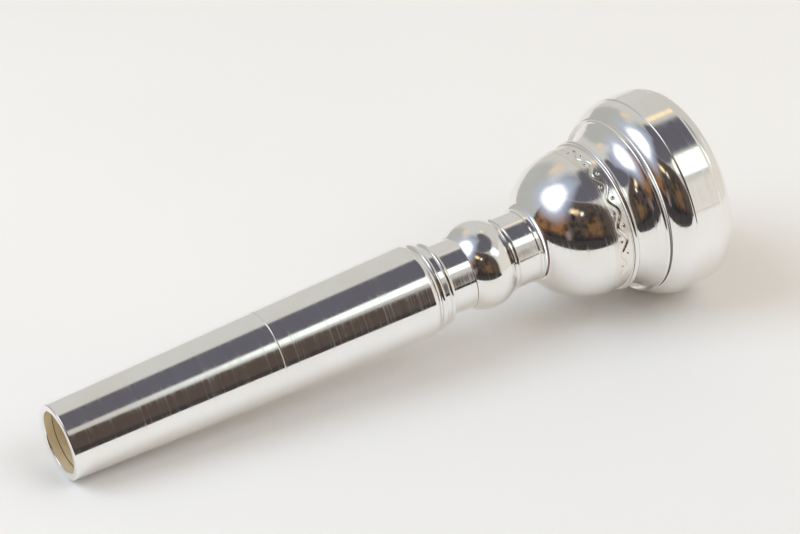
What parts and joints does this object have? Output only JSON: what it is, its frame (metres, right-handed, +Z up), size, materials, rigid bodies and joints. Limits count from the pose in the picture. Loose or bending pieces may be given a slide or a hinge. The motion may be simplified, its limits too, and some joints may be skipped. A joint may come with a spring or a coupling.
{
  "type": "trumpet mouthpiece",
  "caption": "Silver-plated brass trumpet mouthpiece with a screw-on rim, a rounded cup, a beaded neck and a tapered shank with a removable sleeve.",
  "frame": {"origin": "under the middle of the mouthpiece on the surface it lies on, at the centre of the bounding box's bottom face", "axes": "+X from the shank's open tip towards the rim, +Z up; the mouthpiece's own axis rises 5.74 degrees from +X"},
  "size_m": [0.09, 0.0262, 0.0264],
  "materials": {
    "silver_plate": "mirror-polished silver plate over brass",
    "seal_rubber": "matt black nitrile"
  },
  "bodies": {
    "backbore": {"backbore": "silver_plate"},
    "cup_seal": {"cup_seal": "seal_rubber"},
    "cup": {"cup": "silver_plate"},
    "rim_seal": {"rim_seal": "seal_rubber"},
    "rim": {"rim": "silver_plate"},
    "shank_sleeve": {"shank_sleeve": "silver_plate"}
  },
  "joints": [
    {"name": "cup_travel", "type": "slide", "parent": "backbore", "child": "cup_seal", "axis": [0.995, 0, 0.1001], "range_m": [0, 0.00487]},
    {"name": "cup_unscrew", "type": "hinge", "parent": "cup_seal", "child": "cup", "pos_m": [0.02049, 0, 0.0113], "axis": [0.995, 0, 0.1001], "range_deg": [0, 2350]},
    {"name": "rim_travel", "type": "slide", "parent": "cup", "child": "rim_seal", "axis": [0.995, 0, 0.1001], "range_m": [0, 0.00375]},
    {"name": "rim_unscrew", "type": "hinge", "parent": "rim_seal", "child": "rim", "pos_m": [0.0376, 0, 0.01302], "axis": [0.995, 0, 0.1001], "range_deg": [0, 1810]},
    {"name": "sleeve_slide", "type": "slide", "parent": "backbore", "child": "shank_sleeve", "axis": [-0.995, 0, -0.1001], "range_m": [0, 0.028]}
  ],
  "couplings": [
    {"joint": "cup_unscrew", "follows": "cup_travel", "rad_per_m": 8377.6},
    {"joint": "rim_unscrew", "follows": "rim_travel", "rad_per_m": 8377.6}
  ]
}
